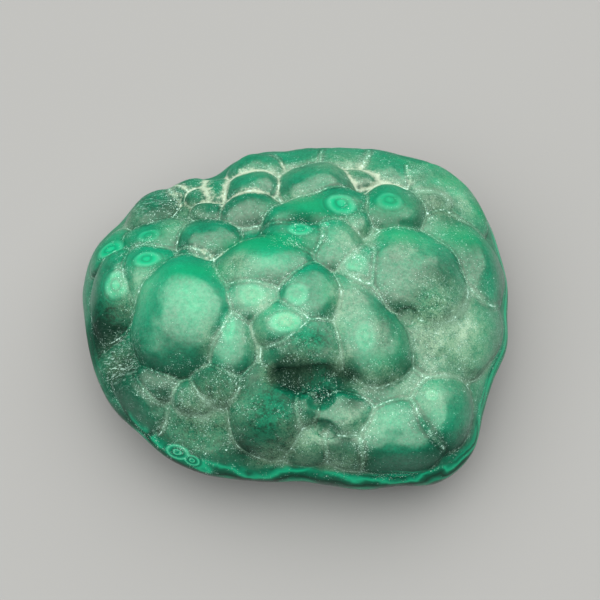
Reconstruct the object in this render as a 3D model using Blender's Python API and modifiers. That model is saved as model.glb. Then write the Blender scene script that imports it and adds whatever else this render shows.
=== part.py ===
"""Botryoidal malachite specimen: one solid stone with a ground rim and a flat base.

Rounded growth lumps are seated on a domed crown. The rim is ground to a smooth
irregular outline and leans in towards a smaller flat base, on which the stone rests.
"""

import math
from dataclasses import dataclass

import bmesh
import bpy
from mathutils import Matrix, Vector

# All sizes below are in millimetres, and MM turns them into metres.
MM = 0.001

# Body of the stone.
RIM_HEIGHT = 9.0
CROWN_RISE = 15.0
CROWN_ROUNDNESS = 0.75
CROWN_OVERSIZE = 1.06
CROWN_DROP = 0.7
SKIRT_DEPTH = 26.0
SKIRT_ROUNDNESS = 0.5

# Ground edge: a rounded shoulder above the rim, and a wall that leans in below it to a
# rounded foot. The lean changes a little on the way round.
SHOULDER_RADIUS = 3.0
SHOULDER_SLOPE = 0.36
UNDERCUT_SLOPE = 0.72
UNDERCUT_CHANGE = 0.1
UNDERCUT_ROUND = 4.0
FOOT_ROUND = 1.6
BLANK_TOP = 36.0
BLANK_REACH = 40.0
BLANK_SEGMENTS = 90
RING_STEPS = 3

# Gentle unevenness of the grown surface.
SWAY = 0.3
SWAY_RATE = 0.55
HEIGHT_SWAY = 0.15

# Fineness of the solid.
GRAIN_SIZE = 0.5
LUMP_SUBDIVISIONS = 4
CROWN_SEGMENTS = 96
CROWN_RINGS = 48
KEPT_SHARE = 0.072

# Lumps: a ball's section has power 2, and a greater power gives a flatter top and steeper
# sides. Each lump is sunk by a share of its rise, and each hollow's ball is lifted by one.
# A lump spreads a little past its own footprint, so that it meets its neighbours.
LUMP_POWER = 2.4
BALL_POWER = 2.0
LUMP_SPREAD = 0.5
LUMP_SINK = 1.3
HOLLOW_LIFT = 0.3

# Outline of the rim seen from above, anticlockwise from the right-hand end.
RIM_POINTS = (
    (34.3, 0.5), (34.6, 6.0), (33.8, 11.5), (32.4, 17.0), (29.3, 23.8), (24.0, 28.3),
    (18.0, 30.5), (12.0, 31.7), (6.0, 31.8), (0.0, 31.4), (-5.5, 31.0), (-10.0, 29.4),
    (-14.5, 26.0), (-20.0, 24.4), (-25.2, 22.5), (-29.2, 17.4), (-33.0, 12.4), (-34.5, 5.5),
    (-33.9, 0.0), (-32.8, -5.5), (-31.0, -10.8), (-28.3, -15.5), (-24.3, -19.3), (-19.6, -23.4),
    (-14.3, -25.8), (-9.0, -26.7), (-4.5, -27.1), (1.0, -27.0), (6.0, -27.7), (10.5, -28.3),
    (16.0, -27.7), (22.3, -27.1), (27.3, -22.8), (29.5, -16.0), (31.4, -10.5), (33.8, -5.0),
)


@dataclass(frozen=True)
class Lump:
    """One rounded growth on the crown, with its footprint and its height over the crown."""

    name: str
    x: float
    y: float
    half_width: float
    half_length: float
    rise: float
    turn: float = 0.0
    lean: float = 0.0


LUMPS = (
    Lump("great_left", -17.4, -6.8, 7.4, 8.7, 3.9, -12.0, 22.0),
    Lump("left_lobe", -28.6, -0.2, 4.2, 6.7, 2.4, -6.0, 14.0),
    Lump("left_eye", -23.2, 4.7, 4.0, 3.6, 2.2, -10.0, -12.0),
    Lump("left_eye_tail", -23.2, 0.9, 2.2, 3.2, 1.3, -10.0),
    Lump("far_left", -30.2, 9.9, 3.8, 3.0, 0.9, 20.0, -16.0),
    Lump("upper_left", -22.2, 9.8, 5.0, 2.8, 1.6, 0.0, -6.0),
    Lump("corner", -23.3, 16.9, 4.0, 4.3, 1.5, 20.0, -8.0),
    Lump("mid_left", -13.8, 8.5, 4.3, 3.0, 1.6, 0.0, -12.0),
    Lump("upper_far", -6.4, 23.6, 3.9, 3.2, 1.5, 0.0, -6.0),
    Lump("upper_middle", -7.6, 18.2, 3.8, 3.3, 1.9, 0.0, -6.0),
    Lump("upper_near", -7.2, 13.6, 4.3, 2.8, 1.8, 0.0, -6.0),
    Lump("far_dome", 3.1, 19.1, 5.2, 4.8, 2.4, 0.0, -12.0),
    Lump("ridge_left", 1.4, 11.9, 5.6, 2.9, 1.9, 18.0, -10.0),
    Lump("ridge_right", 7.4, 14.2, 3.9, 3.0, 2.1, 0.0, -10.0),
    Lump("small_eye", 0.2, 7.2, 4.8, 3.2, 1.8, -10.0, -8.0),
    Lump("pale_dome", 6.1, 6.4, 3.6, 4.0, 1.5, 0.0, -4.0),
    Lump("eye_dome", 15.7, 14.6, 4.5, 4.1, 2.1, 0.0, -12.0),
    Lump("dark_knob", 21.9, 16.2, 3.0, 2.4, 0.9),
    Lump("rim_crest", 26.4, 9.6, 7.2, 4.0, 1.8, -42.0, -10.0),
    Lump("rim_crest_foot", 29.6, 4.8, 4.6, 5.9, 1.5, -10.0),
    Lump("great_right", 18.6, 3.0, 7.6, 7.1, 2.5, -20.0, -8.0),
    Lump("great_right_foot", 21.4, -0.4, 4.8, 5.4, 2.0),
    Lump("side_eye", 10.4, 2.2, 3.0, 3.6, 1.5),
    Lump("saddle", 9.6, -2.0, 2.8, 3.7, 0.9),
    Lump("tear_neck", 9.0, -5.6, 2.5, 5.0, 1.5, 10.0),
    Lump("tear_bowl", 12.4, -11.0, 5.0, 4.7, 2.1, 0.0, 10.0),
    Lump("centre_top", -4.6, 2.8, 6.9, 4.5, 2.6, 0.0, -16.0),
    Lump("centre_right", 1.9, -3.8, 4.7, 5.1, 2.7, 0.0, 5.0),
    Lump("centre_left", -6.4, -3.0, 4.2, 3.7, 1.9),
    Lump("centre_eye", -1.3, -7.7, 4.2, 3.4, 2.9, 0.0, 6.0),
    Lump("under_eye", 1.6, -10.4, 5.0, 3.9, 2.6, 0.0, 4.0),
    Lump("under_eye_foot", 0.8, -13.0, 4.8, 2.5, 1.3, 0.0, 2.0),
    Lump("narrow_lobe", -9.9, -9.5, 3.1, 5.1, 1.5, 12.0),
    Lump("narrow_foot", -11.7, -15.6, 3.3, 2.5, 1.5),
    Lump("near_dome", -3.8, -21.9, 4.7, 4.8, 2.3, 0.0, 14.0),
    Lump("near_dome_back", -5.4, -17.2, 4.0, 3.2, 0.9),
    Lump("low_left", -21.9, -14.7, 3.2, 2.3, 1.0, 0.0, 10.0),
    Lump("low_left_knob", -15.6, -17.6, 2.6, 1.8, 0.8, 0.0, 10.0),
    Lump("corner_lobe", -24.2, -17.0, 3.2, 5.2, 1.3, 36.0, 10.0),
    Lump("crumb_left", 0.8, -19.4, 2.8, 2.2, 1.2, 0.0, -6.0),
    Lump("crumb_right", 7.3, -20.2, 3.4, 2.6, 0.9, 0.0, -6.0),
    Lump("edge_knob_left", 1.6, -23.9, 3.3, 3.0, 1.1, 0.0, -6.0),
    Lump("edge_knob_right", 7.6, -24.4, 3.2, 3.0, 1.0, 0.0, -2.0),
    Lump("near_right", 15.2, -23.2, 6.6, 4.9, 1.6, 0.0, -10.0),
    Lump("corner_right", 22.8, -18.6, 4.5, 5.0, 1.8, 16.0, -8.0),
    Lump("right_shelf", 23.2, -7.2, 7.2, 6.1, 1.0),
    Lump("right_shelf_back", 28.0, -3.4, 5.4, 5.8, 0.7),
    Lump("far_shelf", 25.2, 18.5, 7.0, 5.1, 0.7, -40.0),
    Lump("rim_mound", 8.3, 25.8, 3.6, 3.7, 1.0),
    Lump("rim_shelf_left", 0.3, 26.0, 4.6, 2.8, 0.7),
    Lump("rim_shelf_right", 15.8, 23.9, 5.2, 3.8, 0.7, -15.0),
    Lump("bead_far", -19.4, 18.6, 1.4, 2.0, 0.8),
    Lump("bead_rim", -17.2, 20.5, 2.6, 2.2, 0.8),
    Lump("bead_inner", -15.5, 17.3, 1.5, 1.6, 0.7),
    Lump("bead_long", -13.3, 13.6, 2.1, 1.5, 0.8),
    Lump("bead_broad", -12.6, 19.3, 2.3, 2.9, 0.9),
    Lump("bead_near", -15.6, 5.1, 2.4, 1.3, 0.8),
    Lump("bead_right", 9.8, 10.7, 1.7, 1.9, 1.4),
    Lump("bead_dark", 10.3, 20.5, 2.1, 1.5, 0.8),
)

HOLLOWS = (
    Lump("long_hollow", 0.6, -15.1, 5.0, 1.9, 1.9, 4.0),
    Lump("round_hollow", 8.0, -15.8, 2.2, 1.6, 1.6),
    Lump("shallow_hollow", 4.0, -18.0, 1.8, 1.4, 1.2),
    Lump("near_pit", 4.9, -22.0, 1.4, 1.1, 1.0),
    Lump("notch", 16.8, -5.5, 1.3, 1.1, 1.0),
    Lump("speckled_dip", -14.4, -22.3, 4.4, 3.0, 1.2),
    Lump("broken_dip", -27.6, -9.2, 3.2, 4.0, 1.0),
)

RIM_POLAR = sorted((math.atan2(y, x), math.hypot(x, y)) for x, y in RIM_POINTS)


def rim_radius(angle):
    """Return the rim's distance from the middle at an angle, smooth between the rim points."""
    count = len(RIM_POLAR)
    turn = 2.0 * math.pi
    angle = (angle + math.pi) % turn - math.pi
    after = sum(1 for known, _ in RIM_POLAR if known <= angle)
    places = []
    for step in (-2, -1, 0, 1):
        index = after + step
        known, radius = RIM_POLAR[index % count]
        places.append((known + turn * (index // count), radius))
    (a0, r0), (a1, r1), (a2, r2), (a3, r3) = places
    span = a2 - a1
    t = (angle - a1) / span
    leave = (r2 - r0) / (a2 - a0) * span
    arrive = (r3 - r1) / (a3 - a1) * span
    return (
        (2 * t**3 - 3 * t**2 + 1) * r1
        + (t**3 - 2 * t**2 + t) * leave
        + (3 * t**2 - 2 * t**3) * r2
        + (t**3 - t**2) * arrive
    )


def crown_height(x, y):
    """Return the height of the crown, before any lumps, over a point of the plan."""
    reach = CROWN_OVERSIZE * rim_radius(math.atan2(y, x))
    share = min(math.hypot(x, y) / reach, 1.0)
    return RIM_HEIGHT + CROWN_RISE * (1.0 - share * share) ** CROWN_ROUNDNESS


def crown_normal(x, y, reach=0.3):
    """Return the crown's outward direction over a point of the plan."""
    slope_x = (crown_height(x + reach, y) - crown_height(x - reach, y)) / (2.0 * reach)
    slope_y = (crown_height(x, y + reach) - crown_height(x, y - reach)) / (2.0 * reach)
    return Vector((-slope_x, -slope_y, 1.0)).normalized()


def shoulder_inset(above):
    """Return how far the ground shoulder stands in, at a height above the rim."""
    straight = SHOULDER_SLOPE * SHOULDER_RADIUS
    if above < straight:
        return above * above / (2.0 * SHOULDER_RADIUS)
    return SHOULDER_SLOPE * (above - straight / 2.0)


def undercut_inset(below, angle):
    """Return how far the leaning wall stands in, at a depth below the rim and an angle."""
    change = math.sin(2.0 * angle + 0.6) + 0.5 * math.sin(5.0 * angle)
    slope = UNDERCUT_SLOPE + UNDERCUT_CHANGE * change
    if below < UNDERCUT_ROUND:
        inset = slope * below * below / (2.0 * UNDERCUT_ROUND)
    else:
        inset = slope * (below - UNDERCUT_ROUND / 2.0)
    into_foot = max(below - (RIM_HEIGHT - FOOT_ROUND), 0.0)
    return inset + FOOT_ROUND - math.sqrt(max(FOOT_ROUND**2 - into_foot**2, 0.0))


def ground_inset(height, angle):
    """Return how far the ground edge stands in from the rim at a height and an angle."""
    if height >= RIM_HEIGHT:
        return shoulder_inset(height - RIM_HEIGHT)
    return undercut_inset(RIM_HEIGHT - height, angle)


def swayed(point):
    """Return a point of the grown surface moved by the stone's gentle unevenness."""
    x, y, z = point
    rate = SWAY_RATE
    move_x = SWAY * math.sin(rate * y + 0.7 * math.sin(1.1 * rate * x + 1.3) + 0.9)
    move_y = SWAY * math.sin(1.07 * rate * x + 0.8 * math.sin(0.9 * rate * y + 0.4) + 2.1)
    move_z = HEIGHT_SWAY * math.sin(0.8 * x + 1.1 * math.sin(0.7 * y))
    return Vector((x - move_x, y - move_y, z - move_z))


def boxed(direction):
    """Return the point of a ball with a flatter top and steeper sides that lies in a direction."""
    across = math.hypot(direction.x, direction.y)
    level = across**LUMP_POWER + abs(direction.z) ** LUMP_POWER
    return direction / level ** (1.0 / LUMP_POWER)


def seat(lump, sink, power, spread):
    """Return the matrix that puts a unit ball on the crown as a lump, sunk by a distance."""
    up = crown_normal(lump.x, lump.y)
    right = Vector((1.0, 0.0, 0.0))
    right = (right - right.dot(up) * up).normalized()
    frame = Matrix((right, up.cross(right), up)).transposed().to_4x4()
    frame = frame @ Matrix.Rotation(math.radians(lump.lean), 4, "X")
    frame = frame @ Matrix.Rotation(math.radians(lump.turn), 4, "Z")
    height = lump.rise + abs(sink)
    wider = (1.0 - abs(sink / height) ** power) ** (-1.0 / power)
    across = (lump.half_width + spread) * wider
    along = (lump.half_length + spread) * wider
    size = Vector((across, along, height, 1.0))
    foot = Vector((lump.x, lump.y, crown_height(lump.x, lump.y)))
    centre = foot - sink * frame.col[2].to_3d()
    return Matrix.Translation(centre) @ frame @ Matrix.Diagonal(size)


def plan_middle():
    """Return the middle of the rim's extents, which becomes the part's origin."""
    rim = []
    for step in range(720):
        angle = math.pi * step / 360.0
        rim.append(rim_radius(angle) * Vector((math.cos(angle), math.sin(angle))))
    across = [point.x for point in rim]
    along = [point.y for point in rim]
    return Vector(((min(across) + max(across)) / 2.0, (min(along) + max(along)) / 2.0, 0.0))


def finish_mesh(name, bm, collection):
    """Turn a mesh under work in millimetres into an object about the origin, in metres."""
    middle = plan_middle()
    for vert in bm.verts:
        vert.co = (vert.co - middle) * MM
    mesh = bpy.data.meshes.new(name)
    bm.to_mesh(mesh)
    bm.free()
    obj = bpy.data.objects.new(name, mesh)
    collection.objects.link(obj)
    return obj


def make_collection(name):
    """Add a collection to the scene."""
    collection = bpy.data.collections.new(name)
    bpy.context.scene.collection.children.link(collection)
    return collection


def as_cutter(obj):
    """Mark an object as a cutter that isn't shown."""
    obj.hide_render = True
    obj.display_type = "WIRE"
    return obj


def make_growth(collection):
    """Make the crown and every lump on it as overlapping closed forms in one mesh."""
    bm = bmesh.new()
    bmesh.ops.create_uvsphere(bm, u_segments=CROWN_SEGMENTS, v_segments=CROWN_RINGS, radius=1.0)
    for vert in bm.verts:
        x, y, z = vert.co
        radius = rim_radius(math.atan2(y, x)) * CROWN_OVERSIZE
        if z > 0.0:
            height = CROWN_RISE * z ** (2.0 * CROWN_ROUNDNESS) - CROWN_DROP
        else:
            height = -SKIRT_DEPTH * (-z) ** SKIRT_ROUNDNESS - CROWN_DROP
        vert.co = (x * radius, y * radius, RIM_HEIGHT + height)
    for lump in LUMPS:
        place = seat(lump, LUMP_SINK * lump.rise, LUMP_POWER, LUMP_SPREAD)
        ball = bmesh.ops.create_icosphere(bm, subdivisions=LUMP_SUBDIVISIONS, radius=1.0)
        for vert in ball["verts"]:
            vert.co = place @ boxed(vert.co)
    for vert in bm.verts:
        vert.co = swayed(vert.co)
    return finish_mesh("malachite", bm, collection)


def blank_heights():
    """Return the heights of the ground blank's rings, close together where it curves."""
    shoulder = SHOULDER_SLOPE * SHOULDER_RADIUS
    heights = []
    for step in range(RING_STEPS + 1):
        heights.append(FOOT_ROUND * (1.0 - math.cos(0.5 * math.pi * step / RING_STEPS)))
    for step in range(RING_STEPS):
        heights.append(RIM_HEIGHT - UNDERCUT_ROUND * (1.0 - step / RING_STEPS))
    for step in range(RING_STEPS + 1):
        heights.append(RIM_HEIGHT + shoulder * step / RING_STEPS)
    heights.append(BLANK_TOP)
    return heights


def make_blank(collection):
    """Make the ground blank: a turned form, pushed out to the irregular rim."""
    bm = bmesh.new()
    profile = [bm.verts.new((0.0, 0.0, 0.0))]
    for height in blank_heights():
        profile.append(bm.verts.new((BLANK_REACH, 0.0, height)))
    profile.append(bm.verts.new((0.0, 0.0, BLANK_TOP)))
    edges = [bm.edges.new(pair) for pair in zip(profile, profile[1:])]
    bmesh.ops.spin(
        bm,
        geom=profile + edges,
        axis=(0.0, 0.0, 1.0),
        cent=(0.0, 0.0, 0.0),
        angle=2.0 * math.pi,
        steps=BLANK_SEGMENTS,
        use_merge=True,
    )
    bmesh.ops.remove_doubles(bm, verts=bm.verts, dist=MM)
    for vert in bm.verts:
        x, y, z = vert.co
        if math.hypot(x, y) > MM:
            angle = math.atan2(y, x)
            reach = rim_radius(angle) - ground_inset(z, angle)
            vert.co = (reach * math.cos(angle), reach * math.sin(angle), z)
    bmesh.ops.recalc_face_normals(bm, faces=bm.faces)
    return as_cutter(finish_mesh("ground_blank", bm, collection))


def make_hollows(collection):
    """Make the hollows and pits as one cutter of separate balls."""
    bm = bmesh.new()
    for hollow in HOLLOWS:
        bmesh.ops.create_icosphere(
            bm,
            subdivisions=LUMP_SUBDIVISIONS - 1,
            radius=1.0,
            matrix=seat(hollow, -HOLLOW_LIFT * hollow.rise, BALL_POWER, 0.0),
        )
    return as_cutter(finish_mesh("hollow_cutter", bm, collection))


def add_boolean(obj, cutter, operation):
    """Add an exact Boolean with a cutter to an object."""
    boolean = obj.modifiers.new(cutter.name, "BOOLEAN")
    boolean.operation = operation
    boolean.solver = "EXACT"
    boolean.object = cutter


def stone_material():
    """Make the green of the polished stone."""
    material = bpy.data.materials.new("malachite")
    material.use_nodes = True
    shader = material.node_tree.nodes["Principled BSDF"]
    shader.inputs["Base Color"].default_value = (0.05, 0.34, 0.19, 1.0)
    shader.inputs["Roughness"].default_value = 0.3
    shader.inputs["Metallic"].default_value = 0.0
    shader.inputs["IOR"].default_value = 1.8
    return material


def main():
    """Build the stone."""
    for obj in list(bpy.data.objects):
        bpy.data.objects.remove(obj, do_unlink=True)
    stones = make_collection("malachite_specimen")
    cutters = make_collection("cutters")
    stone = make_growth(stones)
    stone.data.materials.append(stone_material())
    fuse = stone.modifiers.new("fuse", "REMESH")
    fuse.mode = "VOXEL"
    fuse.voxel_size = GRAIN_SIZE * MM
    soften = stone.modifiers.new("soften", "SMOOTH")
    soften.factor = 0.5
    soften.iterations = 2
    add_boolean(stone, make_hollows(cutters), "DIFFERENCE")
    thin = stone.modifiers.new("thin", "DECIMATE")
    thin.ratio = KEPT_SHARE
    add_boolean(stone, make_blank(cutters), "INTERSECT")


main()
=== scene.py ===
"""A polished botryoidal malachite specimen, dressed and set on a pale studio floor.

The stone is one mass: rounded growth lumps on a domed crown, cut round by a ground rim and
flat below. Its form is worked out once as a distance field in millimetres, which shapes the
mesh and also paints it: grooves, growth bands, eye rings and frosted areas are read from the
same field and stored on the vertices, where the finish picks them up. The finish also paints
shade on slopes facing the near side and along the creases, and paints light on the far slopes,
the lumps' crescents and their highlights.
"""

from __future__ import annotations

import itertools
import logging
import math
from collections.abc import Sequence
from dataclasses import dataclass, field
from enum import Enum

import bpy
import numpy as np
from mathutils import Matrix, Vector


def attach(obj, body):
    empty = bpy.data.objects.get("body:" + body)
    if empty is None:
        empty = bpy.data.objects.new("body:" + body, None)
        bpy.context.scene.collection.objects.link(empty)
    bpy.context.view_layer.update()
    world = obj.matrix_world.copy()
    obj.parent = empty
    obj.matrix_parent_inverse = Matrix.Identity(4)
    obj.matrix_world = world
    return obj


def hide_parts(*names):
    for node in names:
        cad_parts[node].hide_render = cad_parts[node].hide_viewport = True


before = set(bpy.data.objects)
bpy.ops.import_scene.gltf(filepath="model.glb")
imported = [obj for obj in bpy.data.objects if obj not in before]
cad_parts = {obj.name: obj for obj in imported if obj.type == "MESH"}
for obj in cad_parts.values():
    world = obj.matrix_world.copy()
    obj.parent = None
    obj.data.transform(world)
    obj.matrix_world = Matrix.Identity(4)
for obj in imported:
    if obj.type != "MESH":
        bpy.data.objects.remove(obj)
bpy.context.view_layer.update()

logging.basicConfig(level=logging.INFO, format="%(levelname)s %(message)s")
log = logging.getLogger("malachite")

MM = 0.001
NODE = "malachite"
FAR_AWAY = 50.0
NEAR_MARGIN = 4.0
EXP_LIMIT = 40.0
HASH_PLACE = (73856093, 19349663, 83492791)
HASH_SEED = 2654435761
HASH_MIX = 1274126177
HASH_TOP = 0xFFFF

Points = np.ndarray
Values = np.ndarray
Colour = tuple[float, float, float]


@dataclass(frozen=True)
class Lump:
    """One rounded growth seated on the crown, in millimetres and degrees.

    Attributes:
        name: What the lump is called.
        x: Place along the stone.
        y: Place across the stone.
        half_width: Half its footprint along its own turned axis.
        half_length: Half its footprint across that axis.
        rise: Its height over the crown, or a hollow's depth.
        turn: Turn about the crown's outward direction.
        lean: Tip of the lump towards the near side.
        tone: How much paler than the stone's mean green it is.
        family: The lump that this one has melted into, if any.
    """

    name: str
    x: float
    y: float
    half_width: float
    half_length: float
    rise: float
    turn: float = 0.0
    lean: float = 0.0
    tone: float = 0.0
    family: str = ""


@dataclass(frozen=True)
class Eye:
    """Concentric rings where a lump's outermost layers are rubbed through.

    Attributes:
        x: Place along the stone.
        y: Place across the stone.
        z: Height over the base.
        half_width: Half the outer ring's size along the stone.
        half_length: Half its size up the slope.
        power: How strongly the rings show.
    """

    x: float
    y: float
    z: float
    half_width: float
    half_length: float
    power: float


class WearAndLight(Enum):
    """What a patch of the surface shows more of than the rest: real frost, cracks, sparkle, cream and
    dullness, and painted shade, painted lit crescents and painted highlight.
    """

    FROST = "frost"
    SHADE = "shade"
    CRACKS = "cracks"
    SPARKLE = "sparkle"
    CREAM = "cream"
    # Painted light: saturated lit green laid on the far crescents of the lumps.
    LIT_CRESCENT = "lit_crescent"
    # Painted highlight: paler mint laid where the sheen of the soft box falls.
    GLOW = "highlight"
    MATTE = "matte"


@dataclass(frozen=True)
class Patch:
    """A soft-edged round area of one kind of patch, a real mark or painted light and shade: its place,
    its reaches and how strong it is.
    """

    x: float
    y: float
    reach_x: float
    reach_y: float
    power: float


RIM_POINTS = (
    (34.3, 0.5), (34.6, 6.0), (33.8, 11.5), (32.4, 17.0), (29.3, 23.8), (24.0, 28.3),
    (18.0, 30.5), (12.0, 31.7), (6.0, 31.8), (0.0, 31.4), (-5.5, 31.0), (-10.0, 29.4),
    (-14.5, 26.0), (-20.0, 24.4), (-25.2, 22.5), (-29.2, 17.4), (-33.0, 12.4), (-34.5, 5.5),
    (-33.9, 0.0), (-32.8, -5.5), (-31.0, -10.8), (-28.3, -15.5), (-24.3, -19.3), (-19.6, -23.4),
    (-14.3, -25.8), (-9.0, -26.7), (-4.5, -27.1), (1.0, -27.0), (6.0, -27.7), (10.5, -28.3),
    (16.0, -27.7), (22.3, -27.1), (27.3, -22.8), (29.5, -16.0), (31.4, -10.5), (33.8, -5.0),
)

LUMPS = (
    Lump("great_left", -17.4, -6.8, 7.4, 8.7, 3.9, -12.0, 22.0, tone=0.35),
    Lump("left_lobe", -28.6, -0.2, 4.2, 6.7, 2.4, -6.0, 14.0, tone=-0.1),
    Lump("left_eye", -23.2, 4.7, 4.0, 3.6, 2.2, -10.0, -12.0, tone=0.25),
    Lump("left_eye_tail", -23.2, 0.9, 2.2, 3.2, 1.3, -10.0, family="left_eye"),
    Lump("far_left", -30.2, 9.9, 3.8, 3.0, 0.9, 20.0, -16.0, tone=0.1),
    Lump("upper_left", -22.2, 9.8, 5.0, 2.8, 1.6, 0.0, -6.0),
    Lump("corner", -23.3, 16.9, 4.0, 4.3, 1.5, 20.0, -8.0, tone=-0.5),
    Lump("mid_left", -13.8, 8.5, 4.3, 3.0, 1.6, 0.0, -12.0, tone=-0.1),
    Lump("upper_far", -6.4, 23.6, 3.9, 3.2, 1.5, 0.0, -6.0, tone=-0.1),
    Lump("upper_middle", -7.6, 18.2, 3.8, 3.3, 1.9, 0.0, -6.0, tone=-0.15),
    Lump("upper_near", -7.2, 13.6, 4.3, 2.8, 1.8, 0.0, -6.0, tone=-0.3),
    Lump("far_dome", 3.1, 19.1, 5.2, 4.8, 2.4, 0.0, -12.0, tone=-0.15),
    Lump("ridge_left", 1.4, 11.9, 5.6, 2.9, 1.9, 18.0, -10.0, tone=-0.1),
    Lump("ridge_right", 7.4, 14.2, 3.9, 3.0, 2.1, 0.0, -10.0, family="ridge_left"),
    Lump("small_eye", 0.2, 7.2, 4.8, 3.2, 1.8, -10.0, -8.0, tone=0.1),
    Lump("pale_dome", 6.1, 6.4, 3.6, 4.0, 1.5, 0.0, -4.0, tone=0.2),
    Lump("eye_dome", 15.7, 14.6, 4.5, 4.1, 2.1, 0.0, -12.0),
    Lump("dark_knob", 21.9, 16.2, 3.0, 2.4, 0.9, tone=-0.6),
    Lump("rim_crest", 26.4, 9.6, 7.2, 4.0, 1.8, -42.0, -10.0),
    Lump("rim_crest_foot", 29.6, 4.8, 4.6, 5.9, 1.5, -10.0, family="rim_crest"),
    Lump("great_right", 18.6, 3.0, 7.6, 7.1, 2.5, -20.0, -8.0),
    Lump("great_right_foot", 21.4, -0.4, 4.8, 5.4, 2.0, family="great_right"),
    Lump("side_eye", 10.4, 2.2, 3.0, 3.6, 1.5, tone=0.2),
    Lump("saddle", 9.6, -2.0, 2.8, 3.7, 0.9, family="tear_bowl"),
    Lump("tear_neck", 9.0, -5.6, 2.5, 5.0, 1.5, 10.0, family="tear_bowl"),
    Lump("tear_bowl", 12.4, -11.0, 5.0, 4.7, 2.1, 0.0, 10.0, tone=0.05),
    Lump("centre_top", -4.6, 2.8, 6.9, 4.5, 2.6, 0.0, -16.0),
    Lump("centre_right", 1.9, -3.8, 4.7, 5.1, 2.7, 0.0, 5.0, tone=0.2),
    Lump("centre_left", -6.4, -3.0, 4.2, 3.7, 1.9, tone=0.2),
    Lump("centre_eye", -1.3, -7.7, 4.2, 3.4, 2.9, 0.0, 6.0, tone=0.4),
    Lump("under_eye", 1.6, -10.4, 5.0, 3.9, 2.6, 0.0, 4.0, tone=-0.3),
    Lump("under_eye_foot", 0.8, -13.0, 4.8, 2.5, 1.3, 0.0, 2.0, family="under_eye"),
    Lump("narrow_lobe", -9.9, -9.5, 3.1, 5.1, 1.5, 12.0, tone=0.25),
    Lump("narrow_foot", -11.7, -15.6, 3.3, 2.5, 1.5, tone=-0.5),
    Lump("near_dome", -3.8, -21.9, 4.7, 4.8, 2.3, 0.0, 14.0, tone=-0.35),
    Lump("near_dome_back", -5.4, -17.2, 4.0, 3.2, 0.9, family="near_dome"),
    Lump("low_left", -21.9, -14.7, 3.2, 2.3, 1.0, 0.0, 10.0, tone=-0.5),
    Lump("low_left_knob", -15.6, -17.6, 2.6, 1.8, 0.8, 0.0, 10.0, tone=-0.5),
    Lump("corner_lobe", -24.2, -17.0, 3.2, 5.2, 1.3, 36.0, 10.0, tone=-0.05),
    Lump("crumb_left", 0.8, -19.4, 2.8, 2.2, 1.2, 0.0, -6.0, tone=-0.2),
    Lump("crumb_right", 7.3, -20.2, 3.4, 2.6, 0.9, 0.0, -6.0, tone=-0.1),
    Lump("edge_knob_left", 1.6, -23.9, 3.3, 3.0, 1.1, 0.0, -6.0, tone=0.0),
    Lump("edge_knob_right", 7.6, -24.4, 3.2, 3.0, 1.0, 0.0, -2.0, tone=-0.2),
    Lump("near_right", 15.2, -23.2, 6.6, 4.9, 1.6, 0.0, -10.0, tone=0.1),
    Lump("corner_right", 22.8, -18.6, 4.5, 5.0, 1.8, 16.0, -8.0),
    Lump("right_shelf", 23.2, -7.2, 7.2, 6.1, 1.0, tone=0.05),
    Lump("right_shelf_back", 28.0, -3.4, 5.4, 5.8, 0.7, family="right_shelf"),
    Lump("far_shelf", 25.2, 18.5, 7.0, 5.1, 0.7, -40.0, tone=0.15),
    Lump("rim_mound", 8.3, 25.8, 3.6, 3.7, 1.0),
    Lump("rim_shelf_left", 0.3, 26.0, 4.6, 2.8, 0.7, tone=-0.1),
    Lump("rim_shelf_right", 15.8, 23.9, 5.2, 3.8, 0.7, -15.0),
    Lump("bead_far", -19.4, 18.6, 1.4, 2.0, 0.8, tone=-0.2),
    Lump("bead_rim", -17.2, 20.5, 2.6, 2.2, 0.8, tone=-0.3),
    Lump("bead_inner", -15.5, 17.3, 1.5, 1.6, 0.7, tone=-0.1),
    Lump("bead_long", -13.3, 13.6, 2.1, 1.5, 0.8, tone=-0.2),
    Lump("bead_broad", -12.6, 19.3, 2.3, 2.9, 0.9, tone=-0.2),
    Lump("bead_near", -15.6, 5.1, 2.4, 1.3, 0.8, tone=-0.1),
    Lump("bead_right", 9.8, 10.7, 1.7, 1.9, 1.4, tone=0.1),
    Lump("bead_dark", 10.3, 20.5, 2.1, 1.5, 0.8, tone=-0.5),
)

HOLLOWS = (
    Lump("long_hollow", 0.6, -15.1, 5.0, 1.9, 1.9, 4.0),
    Lump("round_hollow", 8.0, -15.8, 2.2, 1.6, 1.6),
    Lump("shallow_hollow", 4.0, -18.0, 1.8, 1.4, 1.2),
    Lump("near_pit", 4.9, -22.0, 1.4, 1.1, 1.0),
    Lump("notch", 16.8, -5.5, 1.3, 1.1, 1.0),
    Lump("speckled_dip", -14.4, -22.3, 4.4, 3.0, 1.2),
    Lump("broken_dip", -27.6, -9.2, 3.2, 4.0, 1.0),
)

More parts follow.
